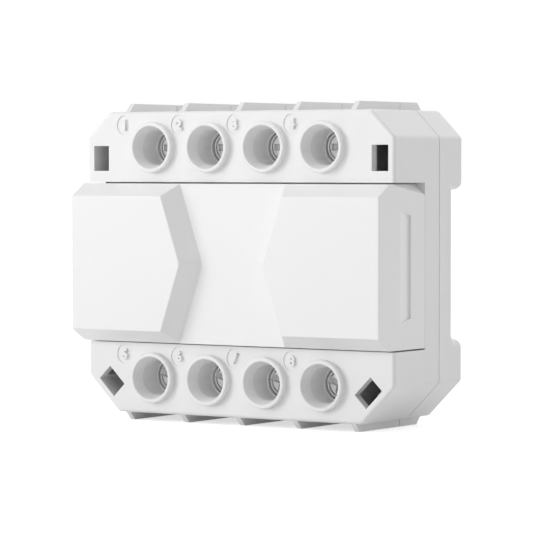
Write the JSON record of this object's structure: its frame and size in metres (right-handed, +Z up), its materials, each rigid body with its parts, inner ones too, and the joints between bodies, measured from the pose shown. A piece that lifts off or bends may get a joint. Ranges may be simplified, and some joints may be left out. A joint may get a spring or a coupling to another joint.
{
  "type": "smart switch adapter",
  "caption": "Moulded wall-box switch module with rows of screw terminals above and below a raised faceted clip-on cover, thin barrier ribs, latch windows and feet behind.",
  "frame": {"origin": "middle of the surface under the lower barrier ribs, which the module stands on as pictured", "axes": "+X to the right seen from the front, +Y to the back, +Z up"},
  "size_m": [0.0488, 0.0216, 0.043],
  "materials": {
    "shell_white": "fine satin moulded polycarbonate",
    "cover_white": "smooth satin moulded polycarbonate",
    "screw_steel": "zinc-plated, lightly brushed",
    "cage_steel": "zinc-plated",
    "bar_brass": "rolled",
    "board_green": "glass-epoxy laminate with solder mask",
    "relay_case": "moulded",
    "relay_base": "moulded",
    "coil_winding": "enamelled wire on a bobbin",
    "relay_iron": "stamped iron",
    "capacitor_sleeve": "shrunk sleeve",
    "film_box": "moulded box",
    "ferrite": "sintered drum core",
    "varistor_coat": "dipped epoxy",
    "resistor_coat": "flameproof coat",
    "chip_black": "moulded epoxy",
    "radio_green": "glass-epoxy laminate with solder mask",
    "shield_steel": "tinned sheet",
    "antenna_copper": "etched and gilded",
    "header_black": "moulded"
  },
  "bodies": {
    "housing": {"front_shell": "shell_white", "rear_shell": "shell_white", "front_cover": "cover_white", "terminal_bar_1": "bar_brass", "terminal_bar_2": "bar_brass", "terminal_bar_3": "bar_brass", "terminal_bar_4": "bar_brass", "terminal_bar_5": "bar_brass", "terminal_bar_6": "bar_brass", "terminal_bar_7": "bar_brass", "terminal_bar_8": "bar_brass", "main_board": "board_green", "relay_case_1": "relay_case", "relay_base_1": "relay_base", "relay_coil_1": "coil_winding", "relay_yoke_1": "relay_iron", "relay_contact_1": "bar_brass", "relay_case_2": "relay_case", "relay_base_2": "relay_base", "relay_coil_2": "coil_winding", "relay_yoke_2": "relay_iron", "relay_contact_2": "bar_brass", "relay_case_3": "relay_case", "relay_base_3": "relay_base", "relay_coil_3": "coil_winding", "relay_yoke_3": "relay_iron", "relay_contact_3": "bar_brass", "bulk_capacitor": "capacitor_sleeve", "film_capacitor": "film_box", "inductor": "ferrite", "varistor": "varistor_coat", "fuse_resistor": "resistor_coat", "bridge_rectifier": "chip_black", "optocouplers": "chip_black", "driver_chips": "chip_black", "radio_board": "radio_green", "radio_shield": "shield_steel", "radio_antenna": "antenna_copper", "radio_header": "header_black"},
    "screw_1": {"terminal_screw_1": "screw_steel"},
    "cage_1": {"terminal_cage_1": "cage_steel"},
    "screw_2": {"terminal_screw_2": "screw_steel"},
    "cage_2": {"terminal_cage_2": "cage_steel"},
    "screw_3": {"terminal_screw_3": "screw_steel"},
    "cage_3": {"terminal_cage_3": "cage_steel"},
    "screw_4": {"terminal_screw_4": "screw_steel"},
    "cage_4": {"terminal_cage_4": "cage_steel"},
    "screw_5": {"terminal_screw_5": "screw_steel"},
    "cage_5": {"terminal_cage_5": "cage_steel"},
    "screw_6": {"terminal_screw_6": "screw_steel"},
    "cage_6": {"terminal_cage_6": "cage_steel"},
    "screw_7": {"terminal_screw_7": "screw_steel"},
    "cage_7": {"terminal_cage_7": "cage_steel"},
    "screw_8": {"terminal_screw_8": "screw_steel"},
    "cage_8": {"terminal_cage_8": "cage_steel"},
    "armature_1": {"relay_armature_1": "relay_iron"},
    "armature_2": {"relay_armature_2": "relay_iron"},
    "armature_3": {"relay_armature_3": "relay_iron"}
  },
  "joints": [
    {"name": "screw_1_turn", "type": "hinge", "parent": "housing", "child": "screw_1", "pos_m": [-0.0135, -0.00255, 0.03706], "axis": [0, 1, 0], "range_deg": [0, 1660]},
    {"name": "cage_1_rise", "type": "slide", "parent": "housing", "child": "cage_1", "axis": [0, -1, 0], "range_m": [0, 0.0023]},
    {"name": "screw_2_turn", "type": "hinge", "parent": "housing", "child": "screw_2", "pos_m": [-0.0045, -0.00255, 0.03706], "axis": [0, 1, 0], "range_deg": [0, 1660]},
    {"name": "cage_2_rise", "type": "slide", "parent": "housing", "child": "cage_2", "axis": [0, -1, 0], "range_m": [0, 0.0023]},
    {"name": "screw_3_turn", "type": "hinge", "parent": "housing", "child": "screw_3", "pos_m": [0.0045, -0.00255, 0.03706], "axis": [0, 1, 0], "range_deg": [0, 1660]},
    {"name": "cage_3_rise", "type": "slide", "parent": "housing", "child": "cage_3", "axis": [0, -1, 0], "range_m": [0, 0.0023]},
    {"name": "screw_4_turn", "type": "hinge", "parent": "housing", "child": "screw_4", "pos_m": [0.0135, -0.00255, 0.03706], "axis": [0, 1, 0], "range_deg": [0, 1660]},
    {"name": "cage_4_rise", "type": "slide", "parent": "housing", "child": "cage_4", "axis": [0, -1, 0], "range_m": [0, 0.0023]},
    {"name": "screw_5_turn", "type": "hinge", "parent": "housing", "child": "screw_5", "pos_m": [-0.0135, -0.00255, 0.00594], "axis": [0, 1, 0], "range_deg": [0, 1660]},
    {"name": "cage_5_rise", "type": "slide", "parent": "housing", "child": "cage_5", "axis": [0, -1, 0], "range_m": [0, 0.0023]},
    {"name": "screw_6_turn", "type": "hinge", "parent": "housing", "child": "screw_6", "pos_m": [-0.0045, -0.00255, 0.00594], "axis": [0, 1, 0], "range_deg": [0, 1660]},
    {"name": "cage_6_rise", "type": "slide", "parent": "housing", "child": "cage_6", "axis": [0, -1, 0], "range_m": [0, 0.0023]},
    {"name": "screw_7_turn", "type": "hinge", "parent": "housing", "child": "screw_7", "pos_m": [0.0045, -0.00255, 0.00594], "axis": [0, 1, 0], "range_deg": [0, 1660]},
    {"name": "cage_7_rise", "type": "slide", "parent": "housing", "child": "cage_7", "axis": [0, -1, 0], "range_m": [0, 0.0023]},
    {"name": "screw_8_turn", "type": "hinge", "parent": "housing", "child": "screw_8", "pos_m": [0.0135, -0.00255, 0.00594], "axis": [0, 1, 0], "range_deg": [0, 1660]},
    {"name": "cage_8_rise", "type": "slide", "parent": "housing", "child": "cage_8", "axis": [0, -1, 0], "range_m": [0, 0.0023]},
    {"name": "armature_1_pull", "type": "hinge", "parent": "housing", "child": "armature_1", "pos_m": [-0.0103, -0.00436, 0.0254], "axis": [-1, 0, 0], "range_deg": [0, 4.5], "stiffness_Nm_per_rad": 0.02, "springref_deg": -1.72},
    {"name": "armature_2_pull", "type": "hinge", "parent": "housing", "child": "armature_2", "pos_m": [0, -0.00436, 0.0254], "axis": [-1, 0, 0], "range_deg": [0, 4.5], "stiffness_Nm_per_rad": 0.02, "springref_deg": -1.72},
    {"name": "armature_3_pull", "type": "hinge", "parent": "housing", "child": "armature_3", "pos_m": [0.0103, -0.00436, 0.0254], "axis": [-1, 0, 0], "range_deg": [0, 4.5], "stiffness_Nm_per_rad": 0.02, "springref_deg": -1.72}
  ],
  "couplings": [
    {"joint": "screw_1_turn", "follows": "cage_1_rise", "rad_per_m": 12566},
    {"joint": "screw_2_turn", "follows": "cage_2_rise", "rad_per_m": 12566},
    {"joint": "screw_3_turn", "follows": "cage_3_rise", "rad_per_m": 12566},
    {"joint": "screw_4_turn", "follows": "cage_4_rise", "rad_per_m": 12566},
    {"joint": "screw_5_turn", "follows": "cage_5_rise", "rad_per_m": 12566},
    {"joint": "screw_6_turn", "follows": "cage_6_rise", "rad_per_m": 12566},
    {"joint": "screw_7_turn", "follows": "cage_7_rise", "rad_per_m": 12566},
    {"joint": "screw_8_turn", "follows": "cage_8_rise", "rad_per_m": 12566}
  ]
}
